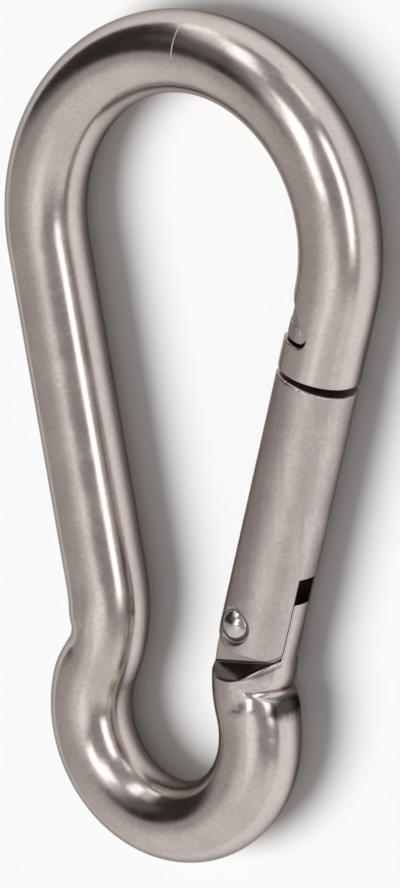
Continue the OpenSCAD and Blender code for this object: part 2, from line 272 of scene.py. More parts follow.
class Side:
    """One straight side of the loop with the kink at its foot. sign is -1 for the spine, 1 for the gate."""

    def __init__(self, s, sign):
        lean = s.gate_lean if sign > 0 else s.spine_lean
        self.kink_r = s.neck_kink_r if sign > 0 else s.spine_kink_r
        self.sign, self.s = sign, s
        self.bow = np.array([0, -s.pitch])
        self.start = s.big_r * np.array([sign * math.cos(lean), -math.sin(lean)])
        self.down = np.array([-sign * math.sin(lean), -math.cos(lean)])
        self.out = np.array([sign * math.cos(lean), -math.sin(lean)])
        self.length = self.straight(self.kink_r)
        self.corner = self.straight(0)
        self.centre = self.start + self.length * self.down + self.kink_r * self.out
        rel = self.centre - self.bow
        self.bow_turn = math.atan2(rel[1], rel[0])
        first = math.atan2(-self.out[1], -self.out[0])
        sweep = (self.bow_turn + math.pi - first + math.pi) % math.tau - math.pi
        self.kink_from, self.kink_to = first, first + sweep
        self.crease = self.straight(s.bar_d / 2)
        self.drag = s.neck_drag if sign > 0 else s.spine_drag
        self.lip = s.neck_lip if sign > 0 else 0.0
        self.swell = s.neck_swell if sign > 0 else s.spine_swell
        self.crease_r = s.neck_crease_r if sign > 0 else s.spine_crease_r
        self.fold = s.fold if sign > 0 else 0.0

    def straight(self, kink_r):
        """Length of the side down to a kink that meets the small bow."""
        o = self.start + kink_r * self.out - self.bow
        b = o @ self.down
        return -b - math.sqrt(b * b - o @ o + (self.s.small_r + kink_r) ** 2)

    def pressed(self, p):
        """Points moved back up to where they were before the press dragged the crease down, and how far the
        surface stands out there: the swelling above the crease and the lip under it."""
        rel = p[:, :2] - self.start
        along, across = rel @ self.down - self.crease, rel @ self.out
        near = step_up(across, *PRESS_ACROSS) * step_up(along, *PRESS_ALONG) * (across < PRESS_END)
        shift = self.drag * near * (1 - step_up(along, self.drag, self.drag + DRAG_FADE))
        moved = p.copy()
        moved[:, :2] -= shift[:, None] * self.down
        below = along - self.drag
        swell = self.swell * np.exp(-(((below + SWELL_ABOVE) / SWELL_REACH) ** 2))
        lip = self.lip * step_up(below, LIP_START, self.s.lip_rise) * (1 - step_up(below, 0, self.s.lip_len))
        lip = lip * step_up(across, *LIP_ACROSS)
        return moved, near * (swell + lip)

    def tube(self, p):
        """The side and its kink. The press leaves a crease on the outer, hollow side of the bend."""
        r = self.s.bar_d / 2
        low, high = sorted((self.kink_from, self.kink_to))
        # The side and the bow are carried on past the kink, and meet in the crease
        straight = off_line(p, self.start, self.down, 0, self.length)
        kink = off_arc(p, self.centre, self.kink_r, low, high)
        side_on = off_line(p, self.start, self.down, self.length - r / 2, self.corner + r)
        ends = (-0.1, 1.0) if self.sign > 0 else (-1.0, 0.1)
        bow_on = off_arc(p, self.bow, self.s.small_r, *(self.bow_turn + end for end in ends))
        bent = np.maximum(kink, round_join(side_on - r, bow_on - r, self.crease_r) + r)
        outer = step_up((p[:, :2] - self.start) @ self.out, 0, 0.6 * r)
        fold = self.fold * outer * np.exp(-(((side_on - bow_on) / FOLD_REACH) ** 2))
        return np.minimum(straight, bent + fold) - r


class HookShape:
    """Places worked out from the sizes, and the distance functions of the bar and the gate."""

    def __init__(self, s):
        self.s = s
        self.r = s.bar_d / 2
        self.spine, self.neck = Side(s, -1), Side(s, 1)
        self.hook_wall = s.nose_len - s.hook_up
        self.gate_top = s.nose_len + s.gate_gap
        self.foot = self.neck.length - s.foot_up
        self.rivet_at = self.foot - s.rivet_up
        self.tang_top = self.rivet_at - s.tang_up
        self.slot_top = self.rivet_at - s.slot_up
        self.bore_top = self.slot_top - s.bore_depth
        self.ledge_at = self.foot + s.ledge_drop
        self.wall_at = self.foot + s.wall_drop
        self.slot_half = s.tang_t / 2 + s.tang_clear
        self.seat_z = self.r - s.seat_depth
        self.hole_r = s.rivet_d / 2 + TANG_HOLE_GAP
        self.loop_at = Vector((0, (s.pitch + s.small_r - s.big_r) / 2, LOOP_HEIGHT))

    def in_loop(self, x, y, z):
        """A place on the gate's side, given outwards, up along the gate and out of the loop's plane."""
        n = self.neck
        flat = n.start + x * n.out - y * n.down
        return Vector((flat[0], flat[1], z)) + self.loop_at

    def on_gate(self, p):
        """Points in the gate's frame: X outwards, Y up along the gate, Z out of the loop's plane."""
        rel = p[:, :2] - self.neck.start
        return rel @ self.neck.out, -(rel @ self.neck.down), p[:, 2]

    def latch_room(self, x, y, z):
        """The slot for the gate's neck, the groove for its cross head and the ramp out of the groove."""
        s = self.s
        across, up = x - (s.groove_past - s.groove_r), y + self.hook_wall - s.groove_r
        turn = np.arctan2(up, across)
        ramp = across * math.cos(s.ramp) + up * math.sin(s.ramp) - s.groove_r
        walls = np.maximum(-up - s.groove_r, ramp)
        bottom = np.hypot(across, up) - s.groove_r
        groove = np.where((turn > -math.pi / 2) & (turn < s.ramp), bottom, walls)
        slot = np.maximum(np.maximum(np.abs(z) - s.neck_t / 2 - s.neck_clear, x - s.groove_past), up)
        return np.minimum(groove, slot)

    def ledge_room(self, x, y, z):
        """What is cut away above the ledge and its outer wall, on both sides of the tang."""
        s = self.s
        up = -x * math.sin(s.ledge_slope) + (y + self.ledge_at) * math.cos(s.ledge_slope)
        beside = np.abs(z) - s.tang_t / 2
        above = up * math.cos(s.ledge_fall) + beside * math.sin(s.ledge_fall)
        wall = -x * math.sin(s.wall_slope) + (y + self.wall_at) * math.cos(s.wall_slope)
        return round_cut(round_cut(-above, -wall, SOFT_EDGE), -beside, SOFT_EDGE)

    def ledge_outline(self, reach):
        """The ledge and its outer wall from below, closed well above them."""
        s, side = self.s, self.r + PAST
        low, steep = math.tan(s.ledge_slope), math.tan(s.wall_slope)
        meet = (self.wall_at - self.ledge_at) / (steep - low)
        top = reach - self.ledge_at
        outline = [(x, x * low - self.ledge_at) for x in (-side, meet)]
        return outline + [(side, side * steep - self.wall_at), (side, top), (-side, top)]

    def hole_outline(self):
        """The rivet's hole in the tang."""
        x, y, r = -self.s.rivet_in, -self.rivet_at, self.hole_r
        turns = [i * math.tau / 48 for i in range(48)]
        return [(x + r * math.cos(turn), y + r * math.sin(turn)) for turn in turns]

    def slot_outline(self, reach):
        """The slot for the gate's neck, open at the nose's end."""
        s = self.s
        top, end = s.groove_r - self.hook_wall, -s.nose_len - self.r
        return [(-reach, top), (s.groove_past, top), (s.groove_past, end), (-reach, end)]

    def groove_outline(self, reach):
        """The groove for the cross head, round at its bottom, with the ramp out of it."""
        s = self.s
        x, y = s.groove_past - s.groove_r, s.groove_r - self.hook_wall
        outline = [(-reach, y - s.groove_r)]
        for i in range(13):
            turn = -math.pi / 2 + (s.ramp + math.pi / 2) * i / 12
            outline.append((x + s.groove_r * math.cos(turn), y + s.groove_r * math.sin(turn)))
        along = Vector((-math.sin(s.ramp), math.cos(s.ramp))) * reach
        outline.append((outline[-1][0] + along[0], outline[-1][1] + along[1]))
        return outline + [(-2 * reach, outline[-1][1])]

    def bar(self, p):
        """Distance from the bent bar, with its nose, ledge and tang."""
        s, r = self.s, self.r
        x, y, z = self.on_gate(p)
        near = np.abs(x) < 1.7 * r
        q, out = self.spine.pressed(p)
        q, more = self.neck.pressed(q)
        out += more
        big = off_arc(p, np.zeros(2), s.big_r, -s.gate_lean, math.pi + s.spine_lean) - r
        small = off_arc(q, self.neck.bow, s.small_r, self.spine.bow_turn, self.neck.bow_turn + math.tau) - r
        shape = np.minimum(np.minimum(big, small - out), self.spine.tube(q) - out)
        nose = round_cut(np.hypot(x, z) - r, -y - s.nose_len, s.edge)
        shape = np.minimum(shape, np.where(y > 0, FAR, nose))
        tang_end = round_cut(y + self.tang_top, -x - r, s.heel_r)
        shape = np.minimum(shape, round_cut(self.neck.tube(q) - out, tang_end, CUT_EDGE))
        ledge = np.where(near & (y < -self.slot_top), self.ledge_room(x, y, z), FAR)
        shape = round_cut(shape, -ledge, SOFT_EDGE)
        pin_hole = self.hole_r - np.hypot(x + s.rivet_in, y + self.rivet_at)
        shape = round_cut(shape, pin_hole, HOLE_EDGE)
        latch = np.where(near & (y > -2 * s.nose_len), self.latch_room(x, y, z), FAR)
        return round_cut(shape, -latch, LATCH_EDGE)

    def gate(self, p):
        """Distance from the gate, with its cross head, slot, bore and rivet seats."""
        s, r = self.s, self.r
        x, y, z = self.on_gate(p)
        thick, radial = np.abs(z), np.hypot(x, z) - r
        foot = round_cut(-y - self.foot, -x - r, s.foot_in_r)
        foot = np.maximum(foot, round_cut(-y - self.foot, x - r, s.foot_out_r))
        top = y + self.gate_top
        top = np.maximum(top, top * math.cos(s.relief) + x * math.sin(s.relief))
        turn = np.arctan2(z, x)
        nick = np.maximum(0, np.sin(9 * turn + 1) * np.sin(23 * turn) - 0.2)
        worn = radial + NICK_DEPTH * nick * np.exp(-((top / NICK_BAND) ** 2))
        shaft = round_cut(round_cut(worn, top, s.edge), foot, SOFT_EDGE)
        head_r = s.head_h / 2
        head_x = s.groove_past - s.head_clear - head_r
        head_y = self.hook_wall - s.head_clear - head_r
        across, up = x - head_x, y + head_y
        head = np.where(across > 0, np.hypot(across, up), np.abs(up)) - head_r
        head = round_cut(head, thick - s.head_half, CUT_EDGE)
        neck = np.maximum(across - head_r, -y - self.gate_top - PAST)
        neck = round_cut(neck, thick - s.neck_t / 2, CUT_EDGE)
        hook = round_join(head, np.maximum(neck, up), CUT_EDGE)
        ramp = (x - s.groove_past + s.groove_r) * math.cos(s.ramp)
        ramp += (y + self.hook_wall - s.groove_r) * math.sin(s.ramp) - s.groove_r + s.wedge_clear
        wedge = round_cut(np.maximum(ramp, across), y + s.wedge_tip, CUT_EDGE)
        wedge = np.maximum(round_cut(wedge, radial + s.edge + s.wedge_inset, WEDGE_EDGE), -up)
        hook = np.minimum(round_cut(hook, radial + s.edge, CUT_EDGE), wedge)
        shape = round_join(shaft, hook, INNER_CORNER)
        slot = np.maximum(thick - self.slot_half, y + self.slot_top)
        shape = round_cut(shape, -slot, CUT_EDGE)
        bore = np.maximum(y + self.bore_top, -y - self.slot_top - PAST)
        bore = np.maximum(np.hypot(x, z) - s.bore_r, bore)
        off_pin = np.hypot(x + s.rivet_in, y + self.rivet_at)
        shape = np.maximum(np.maximum(shape, -bore), s.rivet_d / 2 + CHEEK_HOLE_GAP - off_pin)
        seat = round_cut(off_pin - s.seat_d / 2, self.seat_z - thick, INNER_CORNER)
        return round_cut(shape, -seat, CUT_EDGE)

    def bar_path(self, step=0.5 * MM):
        """Points along the middle of the bar, from the nose's end round to the tang's top."""
        s, n, k = self.s, self.neck, self.spine
        nose = n.start + s.nose_len * n.down
        parts = [line_points(nose, n.start, step)]
        parts.append(arc_points(np.zeros(2), s.big_r, -s.gate_lean, math.pi + s.spine_lean, step))
        parts.append(line_points(k.start, k.start + k.length * k.down, step))
        parts.append(arc_points(k.centre, k.kink_r, k.kink_from, k.kink_to, step))
        parts.append(arc_points(n.bow, s.small_r, k.bow_turn, n.bow_turn + math.tau, step))
        parts.append(arc_points(n.centre, n.kink_r, n.kink_to, n.kink_from, step))
        parts.append(line_points(n.start + n.length * n.down, n.start + self.tang_top * n.down, step))
        flat = np.concatenate(parts)
        keep = np.r_[True, np.hypot(*np.diff(flat, axis=0).T) > step / 4]
        return [(x, y, 0.0) for x, y in flat[keep]]


def line_points(a, b, step):
    count = max(2, int(np.hypot(*(b - a)) / step) + 1)
    return a + (b - a) * np.linspace(0, 1, count)[:, None]


def arc_points(centre, radius, low, high, step):
    turn = np.linspace(low, high, max(3, int(abs(high - low) * radius / step) + 1))
    return centre + radius * np.stack([np.cos(turn), np.sin(turn)], 1)


# ---------------------------------------------------------------- the node tree for a bar or wire


def round_bar_tree():
    """A round bar or wire along a path. It ends in Realize Instances and Set Material."""
    name = "Round bar along a path"
    if name in bpy.data.node_groups:
        return bpy.data.node_groups[name]
    tree = bpy.data.node_groups.new(name, "GeometryNodeTree")
    nodes, links = tree.nodes, tree.links

    def socket(label, kind, value=None, in_out="INPUT"):
        made = tree.interface.new_socket(label, in_out=in_out, socket_type="NodeSocket" + kind)
        if value is not None:
            made.default_value = value

    socket("Path", "Geometry")
    socket("Radius", "Float", 1 * MM)
    socket("Spacing", "Float", 0.5 * MM)
    socket("Sides", "Int", 48)
    socket("Material", "Material")
    socket("Mesh", "Geometry", in_out="OUTPUT")
    given = nodes.new("NodeGroupInput")
    even = nodes.new("GeometryNodeResampleCurve")
    even.mode = "LENGTH"
    section = nodes.new("GeometryNodeCurvePrimitiveCircle")
    sweep = nodes.new("GeometryNodeCurveToMesh")
    sweep.inputs["Fill Caps"].default_value = True
    real = nodes.new("GeometryNodeRealizeInstances")
    paint = nodes.new("GeometryNodeSetMaterial")
    out = nodes.new("NodeGroupOutput")
    links.new(given.outputs["Path"], even.inputs["Curve"])
    links.new(given.outputs["Spacing"], even.inputs["Length"])
    links.new(given.outputs["Sides"], section.inputs["Resolution"])
    links.new(given.outputs["Radius"], section.inputs["Radius"])
    links.new(even.outputs["Curve"], sweep.inputs["Curve"])
    links.new(section.outputs["Curve"], sweep.inputs["Profile Curve"])
    links.new(sweep.outputs["Mesh"], real.inputs["Geometry"])
    links.new(real.outputs["Geometry"], paint.inputs["Geometry"])
    links.new(given.outputs["Material"], paint.inputs["Material"])
    links.new(paint.outputs["Geometry"], out.inputs["Mesh"])
    return tree


# ---------------------------------------------------------------- mesh work

# The step that a normal is measured over, the distance at which points are merged, and a radius taken as 0
PROBE = 0.012 * MM
MERGE = 0.002 * MM
TINY = 1e-7
# The rough bar that is carved: steps along it and sides round it
ROUGH_STEP = 1 * MM
ROUGH_SIDES = 64
# Cells that the bar and the gate are remeshed in
BAR_CELL = 0.5 * MM
GATE_CELL = 0.4 * MM
# Settling: pulls on to the surface in each round, and how far one pull may go
PULLS = 3
PULL_LIMIT = 0.3 * MM
# Carving: how often the mesh is cut finer, the turn between two points above which it is cut, the length of
# edge below which it isn't, the rounds of settling before and after a cut, and how strongly points are evened
# out after it
FINER_LEVELS = 3
FINER_TURN = math.radians(14)
SHORTEST = 0.085 * MM
FIRST_ROUNDS = 6
FINER_ROUNDS = 3
FINER_EASE = 0.35


def swept(name, path, radius, spacing, sides, material, place):
    """A mesh swept along a path by the round bar tree, moved to its place."""
    curve = bpy.data.curves.new(name + "_path", "CURVE")
    curve.dimensions = "3D"
    spline = curve.splines.new("POLY")
    spline.points.add(len(path) - 1)
    spline.points.foreach_set("co", [v for p in path for v in (*p, 1.0)])
    obj = bpy.data.objects.new(name + "_path", curve)
    bpy.context.scene.collection.objects.link(obj)
    tree = round_bar_tree()
    sweep = obj.modifiers.new("Round bar", "NODES")
    sweep.node_group = tree
    values = {"Radius": radius, "Spacing": spacing, "Sides": sides, "Material": material}
    for item in tree.interface.items_tree:
        if item.item_type == "SOCKET" and item.in_out == "INPUT" and item.name in values:
            sweep[item.identifier] = values[item.name]
    mesh = evaluated_mesh(obj, name)
    bpy.data.objects.remove(obj)
    mesh.transform(Matrix.Translation(place))
    return mesh


def evaluated_mesh(obj, name):
    """The object's mesh with its modifiers applied."""
    bpy.context.view_layer.update()
    graph = bpy.context.evaluated_depsgraph_get()
    shown = obj.evaluated_get(graph)
    mesh = bpy.data.meshes.new_from_object(shown, preserve_all_data_layers=False, depsgraph=graph)
    mesh.name = name
    return mesh


def new_object(name, mesh):
    obj = bpy.data.objects.new(name, mesh)
    bpy.context.scene.collection.objects.link(obj)
    return obj


def mesh_from(work, name):
    """A mesh made from a bmesh, which is freed."""
    mesh = bpy.data.meshes.new(name)
    work.to_mesh(mesh)
    work.free()
    return mesh


def merged_copy(node):
    """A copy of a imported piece's mesh, with its loose triangles merged."""
    work = bmesh.new()
    work.from_mesh(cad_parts[node].data)
    bmesh.ops.remove_doubles(work, verts=work.verts, dist=MERGE)
    return mesh_from(work, node + "_copy")


def prism(shape, outline, low, high):
    """A cutter on the gate's side: an outline in X and Y, drawn out from z = low to z = high."""
    work = bmesh.new()
    bottom, top = ([work.verts.new(shape.in_loop(x, y, z)) for x, y in outline] for z in (low, high))
    for i in range(len(outline)):
        j = (i + 1) % len(outline)
        work.faces.new((bottom[i], bottom[j], top[j], top[i]))
    work.faces.new(bottom[::-1])
    work.faces.new(top)
    bmesh.ops.recalc_face_normals(work, faces=work.faces)
    return new_object("cutter", mesh_from(work, "cutter"))


def turned(name, profile, sides, place):
    """A closed mesh turned about z from (radius, height) points. place gives where a point x, y, z goes."""
    work = bmesh.new()
    rings = []
    for radius, z in profile:
        if radius < TINY:
            rings.append([work.verts.new(place(0.0, 0.0, z))])
            continue
        turns = (math.tau * i / sides for i in range(sides))
        ring = [work.verts.new(place(radius * math.cos(a), radius * math.sin(a), z)) for a in turns]
        rings.append(ring)
    for low, high in zip(rings, rings[1:]):
        for i in range(sides):
            j = (i + 1) % sides
            face = [low[i % len(low)], low[j % len(low)], high[j % len(high)], high[i % len(high)]]
            work.faces.new(list(dict.fromkeys(face)))
    bmesh.ops.recalc_face_normals(work, faces=work.faces)
    for face in work.faces:
        face.smooth = True
    return mesh_from(work, name)


def cut_away(obj, cutters):
    """Takes the cutters out of the object and removes them."""
    for cutter in cutters:
        cut = obj.modifiers.new("Cut", "BOOLEAN")
        cut.operation, cut.solver, cut.object = "DIFFERENCE", "EXACT", cutter
    mesh = evaluated_mesh(obj, obj.name)
    for cutter in cutters:
        bpy.data.objects.remove(cutter)
    obj.modifiers.clear()
    obj.data = mesh


def slopes(distance, p):
    """Outward normal of a distance function at each point."""
    n = np.stack([distance(p + d) - distance(p - d) for d in np.eye(3) * PROBE], 1)
    return n / np.maximum(np.linalg.norm(n, axis=1, keepdims=True), 1e-12)


def settle(co, edges, distance, rounds, ease=0.5):
    """Evens out the points and moves them on to the surface where the distance is 0."""
    count = np.bincount(edges.ravel(), minlength=len(co)).astype(float)[:, None]
    for _ in range(rounds):
        if ease:
            total = np.zeros_like(co)
            for axis in range(3):
                total[:, axis] = np.bincount(edges[:, 0], co[edges[:, 1], axis], len(co))
                total[:, axis] += np.bincount(edges[:, 1], co[edges[:, 0], axis], len(co))
            co = co + ease * (total / np.maximum(count, 1) - co)
        for _ in range(PULLS):
            d = distance(co)
            co = co - slopes(distance, co) * np.clip(d, -PULL_LIMIT, PULL_LIMIT)[:, None]
    return co


def edge_array(work):
    work.verts.index_update()
    return np.array([(e.verts[0].index, e.verts[1].index) for e in work.edges])


def carve(name, rough, distance, loop_at, cell):
    """A fine mesh of a shape: the rough object is remeshed evenly, cut finer where the surface turns quickly,
    and settled on to the shape. Its normals are the shape's own."""
    remesh = rough.modifiers.new("Even cells", "REMESH")
    remesh.mode, remesh.voxel_size, remesh.adaptivity = "VOXEL", cell, 0.0
    mesh = evaluated_mesh(rough, name)
    bpy.data.objects.remove(rough)
    work = bmesh.new()
    work.from_mesh(mesh)
    away = np.array(loop_at)

    def points():
        return np.array([v.co for v in work.verts]) - away

    def put(co):
        for v, c in zip(work.verts, co + away):
            v.co = c

    put(settle(points(), edge_array(work), distance, FIRST_ROUNDS))
    for _ in range(FINER_LEVELS):
        edges = edge_array(work)
        co = points()
        n = slopes(distance, co)
        bend = np.einsum("ij,ij->i", n[edges[:, 0]], n[edges[:, 1]])
        long = np.linalg.norm(co[edges[:, 0]] - co[edges[:, 1]], axis=1) > SHORTEST
        work.edges.ensure_lookup_table()
        sharp = [work.edges[i] for i in np.nonzero((bend < math.cos(FINER_TURN)) & long)[0]]
        faces = {f for e in sharp for f in e.link_faces}
        rim = list({e for f in faces for e in f.edges})
        bmesh.ops.subdivide_edges(work, edges=rim, cuts=1, use_grid_fill=True)
        bmesh.ops.triangulate(work, faces=[f for f in work.faces if len(f.verts) > 4])
        put(settle(points(), edge_array(work), distance, FINER_ROUNDS, FINER_EASE))
    bmesh.ops.triangulate(work, faces=work.faces, quad_method="SHORT_EDGE")
    put(settle(points(), edge_array(work), distance, 1, 0.0))
    normals = slopes(distance, points())
    for f in work.faces:
        f.smooth = True
    work.to_mesh(mesh)
    work.free()
    mesh.normals_split_custom_set_from_vertices([tuple(n) for n in normals])
    return new_object(name, mesh)


# ---------------------------------------------------------------- finishes

# How much light the steel gives back at a grazing angle
GRAZING = (0.36, 0.345, 0.335)
# Scales of the noise in the finishes, in features a metre
CLOUDS = 170  # uneven polish
MOTTLE = 1900
GRIT = 900
GRAIN = 2600
SCUFFS = 420
SCRATCHES = 160
SCRATCHED = 90  # the patches where the scratches show
STREAKS = 700
CREASE_REFLECTION_NOISE = 700  # the ragged edge of the painted dark reflection
WANDER = 120  # the line of the hairline
PAPER = 900
# The colour of each mark, and of the painted shade and the painted reflection, as a share of the steel's own
SPECK_SHADE = 0.55
STREAK_SHADE = 0.88
# painted shade in the gate's slot
SLOT_SHADE = 0.18
# painted shade on the ledge
LEDGE_SHADE = 0.2
# painted dark reflection under the neck's crease
CREASE_REFLECTION_SHADE = 0.08
HAIRLINE_SHADE = 1.25
# How much darker and lighter the mottling makes the gate's steel, and the others'
GATE_UNEVEN = 0.12
UNEVEN = 0.08
# Depths of the bumps
GRAIN_DEPTH = 0.02 * MM
SCRATCH_DEPTH = 0.01 * MM
HAIRLINE_DEPTH = 0.05 * MM
# How strong the rivet's grain is beside the bar's
RIVET_GRAIN = 0.6
# How far the painted dark reflection under the neck's crease and the painted shade on the ledge cover the
# steel
CREASE_REFLECTION_COVER = 0.96
LEDGE_SHADE_COVER = 0.6
# Where the painted shade fades: off the ledge's face, out from the tang, and past the bar's round surface
LEDGE_SHADE_OFF = (0.12 * MM, 0.4 * MM)
LEDGE_SHADE_BESIDE = (-0.1 * MM, 0.3 * MM)
LEDGE_SHADE_PAST = 0.5 * MM
# Where the painted shade in the gate's slot fades: beside its walls, and above its end
SLOT_BESIDE = (0.08 * MM, 0.24 * MM)
SLOT_ABOVE = (-0.1 * MM, 0.1 * MM)
# The painted dark reflection under the neck's crease: how ragged it is, where it starts and fades below the
# crease, and where it starts outwards
CREASE_REFLECTION_RAGGED = 1.6 * MM
CREASE_REFLECTION_STARTS = (-1.1 * MM, -0.3 * MM)
CREASE_REFLECTION_FADES = (1.0 * MM, 2.6 * MM)
CREASE_REFLECTION_ACROSS = (5.5 * MM, 6.5 * MM)
# The hairline round the top of the large bow: how far it wanders, where it is across the hook, its half
# width from sharp to gone, and the places along and up between which it fades in
HAIRLINE_WANDER = 0.5 * MM
HAIRLINE_AT = 0.1 * MM
HAIRLINE_HALF = (0.03 * MM, 0.13 * MM)
HAIRLINE_FROM = (51.8 * MM, 53 * MM)
HAIRLINE_UP = (7.6 * MM, 8.6 * MM)


def tone(colour, factor):
    return tuple(min(1.0, c * factor) for c in colour)


class Nodes:
    """Adds shader nodes to a tree and joins them. Its methods give the new node's output."""

    def __init__(self, tree):
        self.nodes, self.links = tree.nodes, tree.links
        self.nodes.clear()

    def set(self, node, values):
        for key, value in values.items():
            if isinstance(value, bpy.types.NodeSocket):
                self.links.new(value, node.inputs[key])
            else:
                node.inputs[key].default_value = value
        return node

    def parts(self, vector):
        return self.set(self.nodes.new("ShaderNodeSeparateXYZ"), {"Vector": vector}).outputs

    def math(self, kind, a, b=0.0, c=0.0):
        node = self.nodes.new("ShaderNodeMath")
        node.operation = kind
        return self.set(node, {0: a, 1: b, 2: c}).outputs["Value"]

    def ramp(self, value, low, high, to_low=0.0, to_high=1.0):
        node = self.nodes.new("ShaderNodeMapRange")
        node.interpolation_type = "SMOOTHSTEP"
        values = {"Value": value, "From Min": low, "From Max": high, "To Min": to_low, "To Max": to_high}
        return self.set(node, values).outputs["Result"]

    def mix(self, factor, a, b):
        """A colour between a and b, each a colour or a socket."""
        node = self.nodes.new("ShaderNodeMix")
        node.data_type = "RGBA"
        self.links.new(factor, node.inputs["Factor"])
        sockets = [i for i in node.inputs if i.type == "RGBA"]
        for socket, value in zip(sockets, (a, b)):
            if isinstance(value, bpy.types.NodeSocket):
                self.links.new(value, socket)
            else:
                socket.default_value = (*value, 1.0)
        return [o for o in node.outputs if o.type == "RGBA"][0]


class Finish(Nodes):
    """A material with one Principled shader, and the patterns that a steel finish is made from."""

    def __init__(self, name):
        self.material = bpy.data.materials.new(name)
        self.material.use_nodes = True
        super().__init__(self.material.node_tree)
        self.shader = self.nodes.new("ShaderNodeBsdfPrincipled")
        out = self.nodes.new("ShaderNodeOutputMaterial")
        self.links.new(self.shader.outputs["BSDF"], out.inputs["Surface"])
        self.place = self.nodes.new("ShaderNodeTexCoord").outputs["Object"]

    def mapped(self, turn=(0, 0, 0), scale=(1, 1, 1), shift=(0, 0, 0)):
        """Object coordinates, turned, scaled and shifted."""
        values = {"Vector": self.place, "Rotation": turn, "Scale": scale, "Location": shift}
        return self.set(self.nodes.new("ShaderNodeMapping"), values).outputs["Vector"]

    def gate_parts(self, shape, down):
        """Places in the gate's frame, from the middle of the bar at a distance down the gate's side."""
        lean = shape.s.gate_lean
        start = Matrix.Rotation(lean, 3, "Z") @ shape.in_loop(0, -down, 0)
        return self.parts(self.mapped((0, 0, lean), (1, 1, 1), -start))

    def ledge_painted_shade(self, shape):
        """How far the painted shade covers the two faces of the ledge beside the tang."""
        s = shape.s
        parts = self.gate_parts(shape, shape.ledge_at)
        beside = self.math("SUBTRACT", self.math("ABSOLUTE", parts["Z"]), s.tang_t / 2)
        along = self.math("MULTIPLY_ADD", beside, math.sin(s.ledge_fall) / math.cos(s.ledge_fall), parts["Y"])
        above = self.math("MULTIPLY_ADD", parts["X"], -math.tan(s.ledge_slope), along)
        near = self.ramp(self.math("ABSOLUTE", above), *LEDGE_SHADE_OFF, LEDGE_SHADE_COVER, 0.0)
        near = self.math("MULTIPLY", near, self.ramp(beside, *LEDGE_SHADE_BESIDE))
        in_bar = self.ramp(self.math("ABSOLUTE", parts["X"]), shape.r, shape.r + LEDGE_SHADE_PAST, 1.0, 0.0)
        return self.math("MULTIPLY", near, in_bar)

    def noise(self, scale, detail=3.0, rough=0.5, vector=None, distortion=0.0):
        values = {"Vector": vector or self.place, "Scale": scale, "Detail": detail, "Roughness": rough}
        values["Distortion"] = distortion
        return self.set(self.nodes.new("ShaderNodeTexNoise"), values).outputs["Fac"]

    def bump(self, height, distance, strength, normal=None):
        values = {"Height": height, "Distance": distance, "Strength": strength}
        if normal is not None:
            values["Normal"] = normal
        return self.set(self.nodes.new("ShaderNodeBump"), values).outputs["Normal"]

    def drawn_streaks(self, tint, colour, shape):
        """Satin streaks along the gate."""
        drawn = self.noise(STREAKS, 3, 0.6, self.mapped((0, 0, shape.s.gate_lean), (1, 0.05, 1)))
        return self.mix(self.ramp(drawn, 0.42, 0.66, 0.0, 0.9), tint, tone(colour, STREAK_SHADE))

    def slot_painted_shade(self, tint, colour, shape):
        """Painted shade: black on the walls of the gate's slot, which fades out just outside its edges."""
        parts = self.gate_parts(shape, shape.slot_top)
        dark, clean = (shape.slot_half + off for off in SLOT_BESIDE)
        beside = self.ramp(self.math("ABSOLUTE", parts["Z"]), dark, clean)
        above = self.ramp(parts["Y"], *SLOT_ABOVE)
        return self.mix(self.math("MAXIMUM", beside, above), tone(colour, SLOT_SHADE), tint)

    def crease_painted_reflection(self, tint, colour, shape):
        """Painted dark reflection: a dark crescent under the neck's crease, on the outer side."""
        parts = self.gate_parts(shape, shape.neck.crease + shape.neck.drag)
        uneven = self.noise(CREASE_REFLECTION_NOISE, 3, 0.6)
        below = self.math("MULTIPLY_ADD", uneven, -CREASE_REFLECTION_RAGGED, self.math("MULTIPLY", parts["Y"], -1.0))
        starts = self.ramp(below, *CREASE_REFLECTION_STARTS)
        under = self.math("MULTIPLY", starts, self.ramp(below, *CREASE_REFLECTION_FADES, 1.0, 0.0))
        outside = self.ramp(parts["X"], *CREASE_REFLECTION_ACROSS, 0.0, CREASE_REFLECTION_COVER)
        return self.mix(self.math("MULTIPLY", under, outside), tint, tone(colour, CREASE_REFLECTION_SHADE))

    def hairline(self):
        """How far the hairline shows at a place: 1 on it and 0 beside it."""
        parts = self.parts(self.place)
        wobble = self.math("MULTIPLY_ADD", self.noise(WANDER, 2), HAIRLINE_WANDER, parts["X"])
        off = self.math("ABSOLUTE", self.math("SUBTRACT", wobble, HAIRLINE_AT))
        line = self.ramp(off, *HAIRLINE_HALF, 1.0, 0.0)
        line = self.math("MULTIPLY", line, self.ramp(parts["Y"], *HAIRLINE_FROM))
        return self.math("MULTIPLY", line, self.ramp(parts["Z"], *HAIRLINE_UP))


